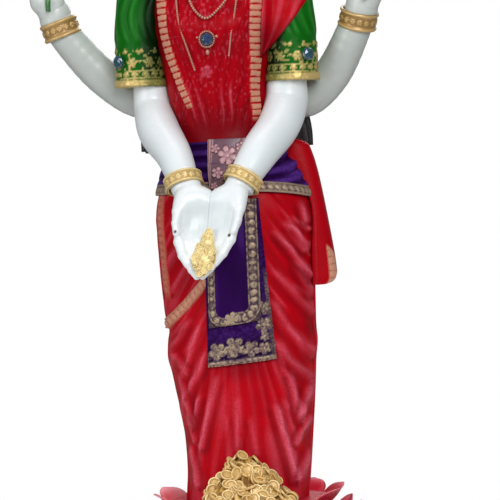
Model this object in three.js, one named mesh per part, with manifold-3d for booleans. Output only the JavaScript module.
// A standing four-armed goddess statuette in painted cast resin, 305 mm tall, on a lotus pedestal.
// Millimetres, +Z up. The figure faces -Y, and the origin is the centre of the felt pad's underside.
// "right" and "left" are the figure's own sides, so its right hands are towards -X.
// The castings are glued and pinned to each other and nothing moves. Every glue line is GAP wide.

import * as THREE from "three";
import { mergeVertices } from "three/addons/utils/BufferGeometryUtils.js";
import Module from "manifold-3d";

const wasm = await Module();
wasm.setup();

// ---------------------------------------------------------------- driving dimensions

const GAP = 0.3; // glue line between two castings
const BODY_X = -5.4; // the upper body sways this far to the figure's right
const SIDES = { right: -1, left: 1 };

const FAR = 60; // beyond the statue on every side, for the faces of cutting boxes

const PAD = { radius: 41, thickness: 1.2 };
const PLINTH = { radius: 44, top: 9 };
const DECK = { top: 36, radius: 29 }; // the lotus top that the figure stands on
const WAIST_Z = 158; // the skirt casting ends and the torso casting starts
const HEM_Z = 187; // lower edge of the short sleeves
const NECK_Z = 236; // the torso casting ends and the head casting starts
const WRIST = { x: 10.6, y: -27, z: 152, radius: 5.4, sway: 1 }; // sway: both, to the figure's left
const REAR_WRIST_RADIUS = 5.6;
const SASH = { bottom: 145.5, top: 166, thickness: 1.7 };
const PANEL = { bottom: 84, left: -10.5, right: 14, thickness: 1.5 };
const OVER_PANEL = { bottom: 102.5, left: -9.2, right: 9.6, thickness: 1.5 };
const DRAPE_THICKNESS = 1.6;
const TAIL = { bottom: 113, top: 165, left: 3, front: 3 };
const CROWN = { bottom: 269, top: 305 };
const BANGLE = { clearance: 0.5, depth: 0.9 };
const BANGLE_HALF = 2.2; // half the width of a front bangle
const REAR_BANGLE_HALF = 3;
const STEM_RADIUS = 0.9;
const STONE = { sleeve: 2.4, pendant: 2.1, crown: 2.6 };

// Cross-sections of the big castings, as [z, centre x, centre y, half width, half depth].
const SKIRT_ROWS = [
  [DECK.top + GAP, -0.7, 0.5, 21.8, 17.6],
  [48, 0.6, 0.5, 21.6, 17.4],
  [62, 0.9, 0.5, 22.6, 17.8],
  [77, 0.4, 0.5, 24.8, 18.4],
  [91, -0.3, 0.5, 26.6, 19],
  [107, -0.9, 0.5, 27.2, 19.4],
  [124, -1.2, 0.5, 27.9, 19.6],
  [142, -1.3, 0.5, 28.3, 19.4],
  [WAIST_Z, -2.6, 0.5, 23, 16],
];
const TORSO_ROWS = [
  [WAIST_Z + GAP, -2.7, 0.5, 22, 15.2],
  [169, -4.2, 0.6, 17.4, 12.8],
  [181, BODY_X, 0.2, 17.8, 13.4],
  [195, BODY_X, -1, 19.6, 15.8],
  [207, BODY_X, -2.2, 21, 17.4],
  [219, BODY_X, -0.2, 21.2, 14.6],
  [228, BODY_X, 1.5, 18.5, 11],
  [NECK_Z, BODY_X, 2, 9, 7.6],
];
const TAIL_ROWS = [
  [TAIL.bottom, -0.6, 0.5, 35.4, 25],
  [125, -0.6, 0.5, 33.6, 24.2],
  [146, -1, 0.5, 30.2, 22.6],
  [TAIL.top, -3, 0.5, 30, 21.4],
];
const HAIR_ROWS = [
  [160, BODY_X, 19, 31.2, 2.4],
  [172, BODY_X, 19, 30.4, 4],
  [194, BODY_X, 18.6, 24, 5],
  [218, BODY_X, 16.6, 19.5, 5.4],
  [240, BODY_X, 12.5, 14.6, 5.6],
  [262, BODY_X, 7.4, 11, 5],
];
const HEAP_ROWS = [
  [PLINTH.top + GAP, 2, -35.5, 27, 8],
  [17, 2.4, -34, 25.4, 9.4],
  [27, 3, -31, 21.6, 10],
  [37, 3, -28, 16.2, 9.6],
  [46, 2.4, -24.6, 9.6, 7.2],
  [53.6, 1.2, -22.4, 3, 3.4],
];

// ---------------------------------------------------------------- solids

function solid(geometry, matrix = new THREE.Matrix4()) {
  const bare = new THREE.BufferGeometry();
  bare.setAttribute("position", geometry.getAttribute("position"));
  bare.setIndex(geometry.index);
  const merged = mergeVertices(bare, 1e-4).applyMatrix4(matrix);
  const vertProperties = merged.attributes.position.array;
  const triVerts = new Uint32Array(merged.index.array);
  return new wasm.Manifold(new wasm.Mesh({ numProp: 3, vertProperties, triVerts }));
}

function geometryOf(body) {
  const mesh = body.getMesh();
  const geometry = new THREE.BufferGeometry();
  geometry.setAttribute("position", new THREE.BufferAttribute(new Float32Array(mesh.vertProperties), 3));
  geometry.setIndex(new THREE.BufferAttribute(mesh.triVerts, 1));
  return geometry;
}

function matrixAt(position, rotation = [0, 0, 0], scale = [1, 1, 1]) {
  return new THREE.Matrix4().compose(
    new THREE.Vector3(...position),
    new THREE.Quaternion().setFromEuler(new THREE.Euler(...rotation)),
    new THREE.Vector3(...scale),
  );
}

const join = (bodies) => bodies.reduce((whole, body) => whole.add(body));

// Cuts the tools out of a body and keeps its largest piece, so no loose sliver is left.
function cut(body, tools) {
  const rest = tools.reduce((left, tool) => left.subtract(tool), body);
  return rest.decompose().reduce((best, piece) => (piece.volume() > best.volume() ? piece : best));
}

function box(low, high) {
  const size = high.map((value, k) => value - low[k]);
  const centre = high.map((value, k) => (value + low[k]) / 2);
  return solid(new THREE.BoxGeometry(...size), matrixAt(centre));
}

// An upright plate with this outline seen from the front, from one depth to another.
function slab(outline, front, back) {
  const shape = new THREE.Shape(outline.map(([x, z]) => new THREE.Vector2(x, z)));
  const plate = new THREE.ExtrudeGeometry(shape, { depth: back - front, bevelEnabled: false });
  return solid(plate, matrixAt([0, back, 0], [Math.PI / 2, 0, 0]));
}

function ellipsoid(centre, radii, rotation, across, down) {
  return solid(new THREE.SphereGeometry(1, across, down), matrixAt(centre, rotation, radii));
}

// A vertical turned body from [radius, z] points that start and end on the axis.
function turned(profile, segments, centre = [0, 0, 0]) {
  const points = profile.map(([radius, z]) => new THREE.Vector2(radius, z));
  return solid(new THREE.LatheGeometry(points, segments), matrixAt(centre, [Math.PI / 2, 0, 0]));
}

// A closed upright body through elliptical cross-sections, made larger all round by grow.
function loft(rows, grow = 0, sides = 24, levels = 11) {
  const centres = new THREE.CatmullRomCurve3(rows.map(([z, x, y]) => new THREE.Vector3(x, y, z)));
  const radii = new THREE.CatmullRomCurve3(rows.map((row) => new THREE.Vector3(row[3], row[4], 0)));
  const geometry = new THREE.CylinderGeometry(1, 1, 1, sides, levels);
  const position = geometry.getAttribute("position");
  for (let i = 0; i < position.count; i++) {
    const t = position.getY(i) + 0.5;
    const centre = centres.getPoint(t);
    const radius = radii.getPoint(t);
    const lift = t < 1e-6 ? -grow : t > 1 - 1e-6 ? grow : 0;
    position.setXYZ(
      i,
      centre.x + (radius.x + grow) * position.getX(i),
      centre.y - (radius.y + grow) * position.getZ(i),
      centre.z + lift,
    );
  }
  return solid(geometry);
}

// A round limb along a smooth path, with its radius running through the given values.
function limb(points, radii, grow = 0, sides = 10, levels = 8) {
  const path = new THREE.CatmullRomCurve3(points.map((point) => new THREE.Vector3(...point)));
  const frames = path.computeFrenetFrames(levels, false);
  const widths = new THREE.CatmullRomCurve3(radii.map((radius) => new THREE.Vector3(radius, 0, 0)));
  const geometry = new THREE.CylinderGeometry(1, 1, 1, sides, levels);
  const position = geometry.getAttribute("position");
  const corner = new THREE.Vector3();
  for (let i = 0; i < position.count; i++) {
    const level = Math.round((position.getY(i) + 0.5) * levels);
    const width = widths.getPoint(level / levels).x + grow;
    const lift = level === 0 ? -grow : level === levels ? grow : 0;
    corner
      .copy(path.getPointAt(level / levels))
      .addScaledVector(frames.normals[level], position.getX(i) * width)
      .addScaledVector(frames.binormals[level], -position.getZ(i) * width)
      .addScaledVector(frames.tangents[level], lift);
    position.setXYZ(i, corner.x, corner.y, corner.z);
  }
  return solid(geometry);
}

// A finger that thins towards its tip.
const finger = (points, radius) => limb(points, [radius, radius * 0.95, radius * 0.6], 0, 6, 4);

// A point given from the upper body's own centre line.
const fromBody = (side, x, y, z) => [BODY_X + side * x, y, z];

// ---------------------------------------------------------------- materials

function paint(color, roughness, metalness = 0) {
  return new THREE.MeshStandardMaterial({ color, roughness, metalness });
}

const MATERIALS = {
  white: paint(0xe9edee, 0.3),
  red: paint(0xb8121e, 0.35),
  green: paint(0x128a24, 0.3),
  leaf: paint(0x2f6b34, 0.5),
  purple: paint(0x34106e, 0.4),
  gold: paint(0xd9b45f, 0.38, 0.6),
  hair: paint(0x14100f, 0.4),
  pink: paint(0xd8405a, 0.38),
  blueGem: paint(0x1f5a86, 0.12),
  redGem: paint(0xa01025, 0.12),
  felt: paint(0x1f4a33, 0.95),
  steel: paint(0x9a9ca0, 0.4, 0.9),
};

// ---------------------------------------------------------------- pedestal

function plinth() {
  const { radius, top } = PLINTH;
  const foot = PAD.thickness + GAP;
  const rim = [[radius - 1, foot], [radius, foot + 1.4], [radius, 5]];
  const bead = [[radius - 1.6, 6], [radius - 0.6, 7.2], [radius - 1.4, top]];
  return turned([[0, foot], ...rim, ...bead, [0, top]], 28);
}

// One ring of lotus petals. Each petal is a flat ellipsoid leaning out by tilt from the upright.
function petalRing({ count, radius, z, radii, tilt, turn = 0 }) {
  return Array.from({ length: count }, (_, i) => {
    const angle = turn + (i * 2 * Math.PI) / count;
    const place = matrixAt([0, 0, z], [0, 0, angle])
      .multiply(matrixAt([radius, 0, 0], [0, tilt, 0], radii));
    return solid(new THREE.SphereGeometry(1, 6, 4), place);
  });
}

function lotus() {
  const foot = PLINTH.top + GAP;
  const flank = [[34, foot], [33, 16], [27, 22], [28, 30]];
  const core = turned([[0, foot], ...flank, [DECK.radius, DECK.top], [0, DECK.top]], 20);
  const inner = petalRing({
    count: 10, radius: 29.5, z: 32, radii: [2.4, 8.4, 10.6], tilt: 0.42, turn: Math.PI / 10,
  });
  const outer = petalRing({ count: 12, radius: 33.5, z: 24.5, radii: [2.6, 8.6, 11], tilt: 0.72 });
  const drooping = petalRing({
    count: 12, radius: 36, z: 14.2, radii: [2.6, 8.8, 7.4], tilt: 2.2, turn: Math.PI / 12,
  });
  const above = box([-FAR, -FAR, foot], [FAR, FAR, FAR]);
  return join([core, ...inner, ...outer, ...drooping]).intersect(above);
}

const heap = (grow = 0) => loft(HEAP_ROWS, grow, 14, 5);

// ---------------------------------------------------------------- clothes and torso

const skirt = (grow = 0) => loft(SKIRT_ROWS, grow);
const torso = (grow = 0) => loft(TORSO_ROWS, grow);
const hips = (grow) => skirt(grow).add(torso(grow));

// The part of a skin round a casting, from inner to outer millimetres off it, that lies in a region.
const skin = (shape, inner, outer, region) => shape(outer).intersect(region).subtract(shape(inner));

function waistSash() {
  const region = box([-FAR, -FAR, SASH.bottom], [FAR, FAR, SASH.top]);
  return skin(hips, GAP, GAP + SASH.thickness, region);
}

// The room that the waist sash and its glue line take up, for cutting what lies over it.
function sashRoom() {
  const region = box([-FAR, -FAR, SASH.bottom - GAP], [FAR, FAR, SASH.top + GAP]);
  return hips(2 * GAP + SASH.thickness).intersect(region);
}

// A flat hanging end of the sash in front of the skirt, lift millimetres off it.
function sashPanel(panel, lift) {
  const region = box([panel.left, -FAR, panel.bottom], [panel.right, 0, SASH.bottom - GAP]);
  return skin(skirt, lift, lift + panel.thickness, region);
}

// The end of the sari that hangs behind the left hip.
function sariTail(grow = 0) {
  const region = box([TAIL.left - grow, TAIL.front - grow, 0], [FAR, FAR, TAIL.top + 2 * GAP]);
  return loft(TAIL_ROWS, grow, 24, 4).intersect(region);
}

// The sari's end going up from the left breast over the shoulder, narrow below and wide on top.
const DRAPE_OUTLINE = [
  [9, 196], [11.6, 196], [16.6, 201], [23.6, 209], [28, 216], [27, 224], [20, 231], [5, 231], [6, 212],
];
const leftShoulder = (grow) =>
  join([torso(grow), sleeve(SIDES.left, grow), rearSleeve(SIDES.left, grow)]);

function shoulderDrape(grow = 0) {
  return skin(leftShoulder, GAP - grow, GAP + DRAPE_THICKNESS + grow, slab(DRAPE_OUTLINE, -FAR, 8));
}

// ---------------------------------------------------------------- head, hair and crown

const wider = (radii, grow) => radii.map((radius) => radius + grow);

function head(grow = 0) {
  const skull = ellipsoid([BODY_X, 0.6, 260.5], wider([12, 13.6, 15.4], grow), [0, 0, 0], 14, 9);
  const jaw = ellipsoid([BODY_X, -4.2, 251.5], wider([8.6, 8.8, 8.6], grow), [0, 0, 0], 10, 7);
  const nose = ellipsoid([BODY_X, -14, 256.6], wider([1.8, 2.4, 3.6], grow), [0.2, 0, 0], 8, 6);
  const neck = limb([[BODY_X, 2, NECK_Z + GAP], [BODY_X, 0.6, 249]], [6.6, 6.2], grow, 10, 1);
  return join([skull, jaw, nose, neck]);
}

const hairCap = (grow = 0) =>
  ellipsoid([BODY_X, 2.4, 262], wider([13.8, 14.2, 16], grow), [0, 0, 0], 14, 9);

function hair() {
  const behindFace = box([-FAR, -5.5, 246], [FAR, FAR, CROWN.top]);
  return loft(HAIR_ROWS, 0, 18, 6).add(hairCap().intersect(behindFace));
}

function crown() {
  const { bottom, top } = CROWN;
  const band = [[14.8, bottom], [15.6, bottom + 1.6], [14.6, bottom + 4], [13.4, bottom + 9]];
  const tier = [[13.8, bottom + 10.4], [11.4, bottom + 13], [10.6, bottom + 18], [10.8, bottom + 19.4]];
  const spire = [[7.6, bottom + 23], [5, bottom + 27.4], [3, bottom + 30]];
  const bud = [[3.4, bottom + 32], [1.2, top - 1.6]];
  return turned([[0, bottom], ...band, ...tier, ...spire, ...bud, [0, top]], 16, [BODY_X, 1.2, 0]);
}

// ---------------------------------------------------------------- arms

const sleevePath = (side) => [
  fromBody(side, 15, 3, 229),
  fromBody(side, 24, 2.6, 224.6),
  fromBody(side, 27.2, 1.6, 210),
  fromBody(side, 27.3, 0.6, HEM_Z),
];
const sleeve = (side, grow = 0) => limb(sleevePath(side), [5, 8.2, 8.6, 9.3], grow, 14, 7);

// A point given from the centre of a wrist, towards that side, back and up.
const fromWrist = (side, out, back, up) =>
  fromBody(side, WRIST.x + side * WRIST.sway + out, WRIST.y + back, WRIST.z + up);

const armPath = (side) => [
  fromBody(side, 25.2, 0.6, HEM_Z - GAP),
  fromBody(side, 24.6, -0.4, 178),
  fromBody(side, 22 + 0.5 * side, -8.2, 170),
  fromBody(side, 16 + 0.9 * side, -19.4, 161.2),
  fromWrist(side, 0, 0, 0),
  fromWrist(side, -1.8, -2.2, -5.4),
];
const FRONT_ARM_RADII = [7.2, 7.6, 7.8, 7, WRIST.radius, WRIST.radius - 0.3];
const frontArm = (side, grow = 0) => limb(armPath(side), FRONT_ARM_RADII, grow, 12, 9);

const rearSleevePath = (side) => [
  fromBody(side, 13, 9, 226),
  fromBody(side, 20.5, 13, 220.6),
  fromBody(side, 25.2, 16, 209),
  fromBody(side, 26.6, 17, 197),
];
const rearSleeve = (side, grow = 0) => limb(rearSleevePath(side), [4.6, 6.9, 7.5, 8], grow, 12, 6);

// The bare rear arms, as [across, y, z]. The right one reaches further out than the left one.
const REAR_ARMS = {
  right: {
    elbow: [29, 16.4, 178.5],
    mid: [43.6, 12, 190.8],
    wrist: [56.6, 7, 209.5],
    palm: [60.6, 4.6, 224],
  },
  left: {
    elbow: [28.6, 16.4, 178],
    mid: [42.4, 12, 187.6],
    wrist: [51.6, 7, 208.5],
    palm: [56, 4.6, 223],
  },
};
const rearArmPath = (name) => {
  const { elbow, mid, wrist } = REAR_ARMS[name];
  return [[26.9, 17.2, 196.6], elbow, mid, wrist].map((point) => fromBody(SIDES[name], ...point));
};
const rearArm = (name, grow = 0) =>
  limb(rearArmPath(name), [6.8, 7.1, 6.5, REAR_WRIST_RADIUS], grow, 12, 8);

// A raised hand closed on a flower stem, seen from the front with its palm forward.
function raisedHand(name) {
  const side = SIDES[name];
  const [x, y, z] = fromBody(side, ...REAR_ARMS[name].palm);
  const at = (across, forward, up) => [x + side * across, y - forward, z + up];
  const wrist = fromBody(side, ...REAR_ARMS[name].wrist);
  const palm = ellipsoid(at(0, 0, -2), [5.8, 3.8, 8.2], [0, 0, 0], 9, 6);
  const heel = limb([wrist, at(0, 0, -5)], [5.4, 4.8], 0, 9, 2);
  const fingers = [3.9, 1.3, -1.3, -3.9].map((across, i) => {
    const reach = i < 3 ? 0 : 1.6; // the forefinger is raised a little
    return finger([at(across, 0, 3), at(across, 4.4, 9 + reach), at(across, 6.4, 3 + reach)], 1.75);
  });
  const thumb = finger([at(-4, 1, -4), at(-5.4, 4.6, 1), at(-3, 7.4, 4.4)], 1.9);
  return join([heel, palm, ...fingers, thumb]);
}

// The held-out hands lean this far to the figure's right for each millimetre below their line.
const HAND_LEAN = { slope: 0.1375, line: 142 };

function leaning(body) {
  const { slope, line } = HAND_LEAN;
  const shear = new THREE.Matrix4().makeShear(0, 0, 0, 0, slope, 0);
  return solid(geometryOf(body), shear.setPosition(-slope * line, 0, 0));
}

// One of the two hands held together as a bowl. Each finger is [root, knuckle, tip], little one first.
const CUPPED_FINGERS = [
  [[2.1, -34.6, 137.6], [1.9, -38.2, 129], [1.2, -41, 119]],
  [[4.9, -34.4, 137.6], [4.5, -38.2, 129], [2.1, -40.8, 120]],
  [[7.7, -34.8, 137.6], [6.9, -38, 129.6], [3.5, -40.4, 121.6]],
  [[10, -36, 137.4], [9.2, -38.6, 130.4], [5.5, -40.4, 123.8]],
];
const CUPPED_THUMB = [[11.1, -32.6, 147.4], [11.3, -36.4, 141.2], [10.5, -38.6, 135]];

function cuppedHand(side) {
  const seam = GAP / 2;
  const wrist = fromBody(side, WRIST.x, WRIST.y, WRIST.z);
  const palm = ellipsoid(fromBody(side, 6.2, -32.6, 142), [6.4, 3.6, 9], [-0.28, 0, side * 0.16], 9, 6);
  const heel = limb([wrist, fromBody(side, 8.2, -30.6, 145.4)], [5.1, 4.7], 0, 9, 2);
  const digit = (points, radius) => finger(points.map((point) => fromBody(side, ...point)), radius);
  const fingers = CUPPED_FINGERS.map((points) => digit(points, 1.9));
  const thumb = digit(CUPPED_THUMB, 2.2);
  const ownSide = side < 0
    ? box([-FAR, -FAR, 0], [BODY_X - seam, 0, WAIST_Z])
    : box([BODY_X + seam, -FAR, 0], [FAR, 0, WAIST_Z]);
  return leaning(join([heel, palm, ...fingers, thumb]).intersect(ownSide));
}

// A flat bangle with two raised edges, to go round a limb of this radius.
function bangleGeometry(limbRadius, end) {
  const inner = limbRadius + BANGLE.clearance;
  const outer = inner + BANGLE.depth;
  const outside = [[outer, -end], [outer - GAP, 0], [outer, end]];
  const profile = [[inner, -end], ...outside, [inner, end], [inner, -end]];
  return new THREE.LatheGeometry(profile.map(([radius, z]) => new THREE.Vector2(radius, z)), 16);
}

// A plain disc that fills a front bangle and its clearance, to keep a hand clear of it.
function bangleRoom() {
  const radius = WRIST.radius + BANGLE.clearance + BANGLE.depth + GAP;
  return new THREE.CylinderGeometry(radius, radius, 2 * (BANGLE_HALF + GAP), 20);
}

// Puts a shape's own +Y axis along the line between two points, at a share of the way.
function alongMatrix(from, to, share) {
  const start = new THREE.Vector3(...from);
  const end = new THREE.Vector3(...to);
  const direction = end.clone().sub(start).normalize();
  const turn = new THREE.Quaternion().setFromUnitVectors(new THREE.Vector3(0, 1, 0), direction);
  return new THREE.Matrix4().compose(start.lerp(end, share), turn, new THREE.Vector3(1, 1, 1));
}

// ---------------------------------------------------------------- flowers and coins

function stemPath(name) {
  const side = SIDES[name];
  const [x, y, z] = fromBody(side, ...REAR_ARMS[name].palm);
  return [[x - side * 1.5, y - 5.6, z - 9], [x - side * 1.5, y - 5.8, z + 6], [x, y - 4.6, z + 20]];
}
const stem = (name, grow = 0) => limb(stemPath(name), [STEM_RADIUS, STEM_RADIUS], grow, 6, 4);

function flower(name) {
  const [x, y, z] = stemPath(name)[2];
  const heart = ellipsoid([x, y, z + 5], [3.8, 3.8, 5.4], [0, 0, 0], 8, 5);
  const petals = petalRing({ count: 6, radius: 4.6, z: z + 7.4, radii: [1.5, 4.4, 7.4], tilt: 0.5 });
  return join([heart, ...petals.map((petal) => petal.translate([x, y, 0]))]);
}

const HANDFUL_ROWS = [
  [120.6, BODY_X, -42.4, 1.9, 1.6],
  [125, BODY_X, -41.8, 4, 2.4],
  [129.4, BODY_X, -40.6, 4.7, 2.6],
  [136.4, BODY_X, -38.2, 1.2, 1.4],
];
const handfulOfCoins = (grow = 0) =>
  leaning(loft(HANDFUL_ROWS.map(([z, x, y, rx, ry]) => [z, x, y, rx + grow, ry + grow]), 0, 10, 4));

// ---------------------------------------------------------------- jewellery

// A cord lying on the chest: a curve that hangs from both sides of the neck to its lowest point.
function chestCord(halfWidth, top, bottom, radius, grow = 0) {
  const points = [-1, -0.75, -0.5, -0.25, 0, 0.25, 0.5, 0.75, 1].map((across) => {
    const z = bottom + (top - bottom) * across ** 2;
    return [BODY_X + across * halfWidth, chestDepth(across * halfWidth, z) - radius * 0.4, z];
  });
  return limb(points, [radius, radius], grow, 5, 12);
}

// How far forward the torso's surface is at a place on the chest.
function chestDepth(x, z) {
  const upper = TORSO_ROWS.findIndex((row) => row[0] >= z);
  const [low, high] = [TORSO_ROWS[upper - 1], TORSO_ROWS[upper]];
  const t = (z - low[0]) / (high[0] - low[0]);
  const [, , y, rx, ry] = low.map((value, k) => value + t * (high[k] - value));
  return y - ry * Math.sqrt(Math.max(0, 1 - (x / rx) ** 2));
}

const choker = (grow = 0) => chestCord(7.4, 235, 229.5, 1.1, grow);
const longNecklace = (grow = 0) => chestCord(11, 231, 206, 0.9, grow);

const PENDANT_Z = 202;
const pendantAt = [BODY_X, chestDepth(0, PENDANT_Z) - 0.6, PENDANT_Z];
const pendant = (grow = 0) => ellipsoid(pendantAt, wider([3.4, 1.6, 3.8], grow), [0, 0, 0], 9, 6);
const buckle = (grow = 0) => ellipsoid([-4, -16.4, 157], wider([7.4, 2.6, 7.6], grow), [0.12, 0, 0], 10, 7);
const gem = (radius) => new THREE.SphereGeometry(radius, 8, 6);

function earring(side) {
  const profile = [[0, -5.4], [2.6, -4.4], [1.4, -1.6], [1.6, -0.8], [2, 1], [0, 2.2]];
  return turned(profile, 10, fromBody(side, 12.7, -4, 252.6));
}

// ---------------------------------------------------------------- pins that hold the castings together

// The steel pin at the top of each arm, as [across, y, z] at its two ends.
const FRONT_ARM_PIN = [[25.6, 0.6, 180], [26, 0.6, 195]];
const REAR_ARM_PIN = [[26.7, 17.1, 191], [25.4, 16.4, 204]];
const ARM_PIN_RADIUS = 1.6;

const PINS = {
  base_pin: { ends: [[0, 0, 22], [0, 0, 56]], radius: 3 },
  waist_pin: { ends: [[-3, 0.5, 145], [-3, 0.5, 174]], radius: 3 },
  neck_pin: { ends: [[BODY_X, 2, 226], [BODY_X, 1.4, 247]], radius: 2 },
  crown_pin: { ends: [[BODY_X, 1.2, 268], [BODY_X, 1.2, 283]], radius: 1.5 },
};
for (const [name, side] of Object.entries(SIDES)) {
  const onSide = (ends) => ends.map((point) => fromBody(side, ...point));
  PINS[`front_arm_pin_${name}`] = { ends: onSide(FRONT_ARM_PIN), radius: ARM_PIN_RADIUS };
  PINS[`rear_arm_pin_${name}`] = { ends: onSide(REAR_ARM_PIN), radius: ARM_PIN_RADIUS };
}

function pin(name, grow = 0) {
  const { ends, radius } = PINS[name];
  return limb(ends, [radius, radius], grow, 8, 1);
}
const pinHole = (name) => pin(name, GAP);

// ---------------------------------------------------------------- assembly

// Adds a solid as a named mesh.
function add(parent, name, body, material) {
  const mesh = new THREE.Mesh(geometryOf(body), material);
  mesh.name = name;
  parent.add(mesh);
}

// Adds a small part in place by its own matrix.
function addPlaced(parent, name, geometry, matrix, material) {
  const mesh = new THREE.Mesh(geometry, material);
  mesh.name = name;
  mesh.applyMatrix4(matrix);
  parent.add(mesh);
}

const bothSides = (shape, grow) => Object.values(SIDES).map((side) => shape(side, grow));
const frontArms = bothSides(frontArm, GAP);
const sleeves = bothSides(sleeve, GAP);
const rearSleeves = bothSides(rearSleeve, GAP);
const rearArms = Object.keys(SIDES).map((name) => rearArm(name, GAP));
const necklaces = [choker(GAP), longNecklace(GAP), pendant(GAP)];

function buildPedestal() {
  const pedestal = new THREE.Group();
  const pad = new THREE.CylinderGeometry(PAD.radius, PAD.radius, PAD.thickness, 36);
  const padAt = matrixAt([0, 0, PAD.thickness / 2], [Math.PI / 2, 0, 0]);
  addPlaced(pedestal, "felt_pad", pad, padAt, MATERIALS.felt);
  add(pedestal, "plinth", plinth(), MATERIALS.gold);
  const lotusCuts = [skirt(GAP), heap(GAP), pinHole("base_pin")];
  add(pedestal, "lotus_pedestal", cut(lotus(), lotusCuts), MATERIALS.pink);
  add(pedestal, "coin_heap", cut(heap(), [skirt(GAP)]), MATERIALS.gold);
  return pedestal;
}

function buildBody() {
  const body = new THREE.Group();
  const skirtCuts = [pinHole("base_pin"), pinHole("waist_pin"), ...frontArms];
  const torsoCuts = [...sleeves, ...rearSleeves, ...frontArms, ...necklaces];
  torsoCuts.push(pinHole("waist_pin"), pinHole("neck_pin"));
  add(body, "skirt", cut(skirt(), skirtCuts), MATERIALS.red);
  add(body, "torso", cut(torso(), torsoCuts), MATERIALS.red);
  add(body, "waist_sash", cut(waistSash(), [buckle(GAP), ...frontArms]), MATERIALS.purple);
  add(body, "belt_ornament", cut(buckle(), [hips(GAP), ...frontArms]), MATERIALS.gold);
  add(body, "sash_panel_back", sashPanel(PANEL, GAP), MATERIALS.purple);
  add(body, "sash_panel_front", sashPanel(OVER_PANEL, 2 * GAP + PANEL.thickness), MATERIALS.purple);
  const tailCuts = [skirt(GAP), torso(GAP), sashRoom(), ...frontArms];
  add(body, "sari_tail", cut(sariTail(), tailCuts), MATERIALS.red);
  add(body, "shoulder_drape", cut(shoulderDrape(), [...necklaces, ...frontArms, head(GAP)]), MATERIALS.red);
  return body;
}

function buildHead() {
  const top = new THREE.Group();
  const stoneAt = matrixAt([BODY_X, -13.4, 276]);
  const crownPin = pinHole("crown_pin");
  const hairCuts = [torso(GAP), sashRoom(), crownPin, shoulderDrape(GAP), sariTail(GAP), head(GAP)];
  hairCuts.push(...sleeves, ...rearSleeves, ...rearArms, ...frontArms);
  const crownCuts = [head(GAP), hairCap(GAP), crownPin, solid(gem(STONE.crown + GAP), stoneAt)];
  add(top, "head", cut(head(), [torso(GAP), pinHole("neck_pin"), crownPin]), MATERIALS.white);
  add(top, "hair", cut(hair(), hairCuts), MATERIALS.hair);
  add(top, "crown", cut(crown(), crownCuts), MATERIALS.gold);
  addPlaced(top, "crown_stone", gem(STONE.crown), stoneAt, MATERIALS.redGem);
  for (const [name, side] of Object.entries(SIDES)) {
    add(top, `earring_${name}`, earring(side), MATERIALS.gold);
  }
  return top;
}

function buildNecklaces() {
  const jewels = new THREE.Group();
  const stoneAt = matrixAt([pendantAt[0], pendantAt[1] - 1.5, pendantAt[2]]);
  add(jewels, "choker", choker(), MATERIALS.gold);
  add(jewels, "long_necklace", cut(longNecklace(), [pendant(GAP), choker(GAP)]), MATERIALS.gold);
  add(jewels, "pendant", cut(pendant(), [solid(gem(STONE.pendant + GAP), stoneAt)]), MATERIALS.gold);
  addPlaced(jewels, "pendant_stone", gem(STONE.pendant), stoneAt, MATERIALS.blueGem);
  return jewels;
}

function buildFrontArm(name, side) {
  const arm = new THREE.Group();
  const hole = pinHole(`front_arm_pin_${name}`);
  const stoneAt = matrixAt(fromBody(side, 33.6, -6.2, 195.5));
  const stoneSeat = solid(gem(STONE.sleeve + GAP), stoneAt);
  const drape = shoulderDrape(GAP);
  const bangleAt = alongMatrix(fromWrist(side, 0, 0, 0), fromWrist(side, -4, -4.6, -9), 0);
  const handCuts = [handfulOfCoins(GAP), frontArm(side, GAP), solid(bangleRoom(), bangleAt)];
  add(arm, `sleeve_${name}`, cut(sleeve(side), [stoneSeat, hole, drape]), MATERIALS.green);
  addPlaced(arm, `sleeve_stone_${name}`, gem(STONE.sleeve), stoneAt, MATERIALS.blueGem);
  add(arm, `front_arm_${name}`, cut(frontArm(side), [sleeve(side, GAP), hole]), MATERIALS.white);
  const bangle = bangleGeometry(WRIST.radius, BANGLE_HALF);
  addPlaced(arm, `front_bangle_${name}`, bangle, bangleAt, MATERIALS.gold);
  add(arm, `front_hand_${name}`, cut(cuppedHand(side), handCuts), MATERIALS.white);
  return arm;
}

function buildRearArm(name, side) {
  const arm = new THREE.Group();
  const hole = pinHole(`rear_arm_pin_${name}`);
  const [, , forearm, wrist] = rearArmPath(name);
  const bangleAt = alongMatrix(forearm, wrist, 0.95);
  const bare = rearArm(name).add(raisedHand(name));
  const armCuts = [rearSleeve(side, GAP), frontArm(side, GAP), stem(name, GAP), hole];
  const sleeveCuts = [sleeve(side, GAP), torso(GAP), shoulderDrape(GAP), hole];
  add(arm, `rear_sleeve_${name}`, cut(rearSleeve(side), sleeveCuts), MATERIALS.green);
  add(arm, `rear_arm_${name}`, cut(bare, armCuts), MATERIALS.white);
  const bangle = bangleGeometry(REAR_WRIST_RADIUS + GAP, REAR_BANGLE_HALF);
  addPlaced(arm, `rear_bangle_${name}`, bangle, bangleAt, MATERIALS.gold);
  add(arm, `flower_stem_${name}`, stem(name), MATERIALS.leaf);
  add(arm, `lotus_flower_${name}`, cut(flower(name), [stem(name, GAP)]), MATERIALS.pink);
  return arm;
}

function buildPins() {
  const pins = new THREE.Group();
  for (const name of Object.keys(PINS)) add(pins, name, pin(name), MATERIALS.steel);
  return pins;
}

const statue = new THREE.Group();
statue.add(buildPedestal(), buildBody(), buildNecklaces(), buildHead());
for (const [name, side] of Object.entries(SIDES)) {
  statue.add(buildFrontArm(name, side), buildRearArm(name, side));
}
const coins = new THREE.Group();
add(coins, "coin_handful", handfulOfCoins(), MATERIALS.gold);
statue.add(coins, buildPins());

export default statue;
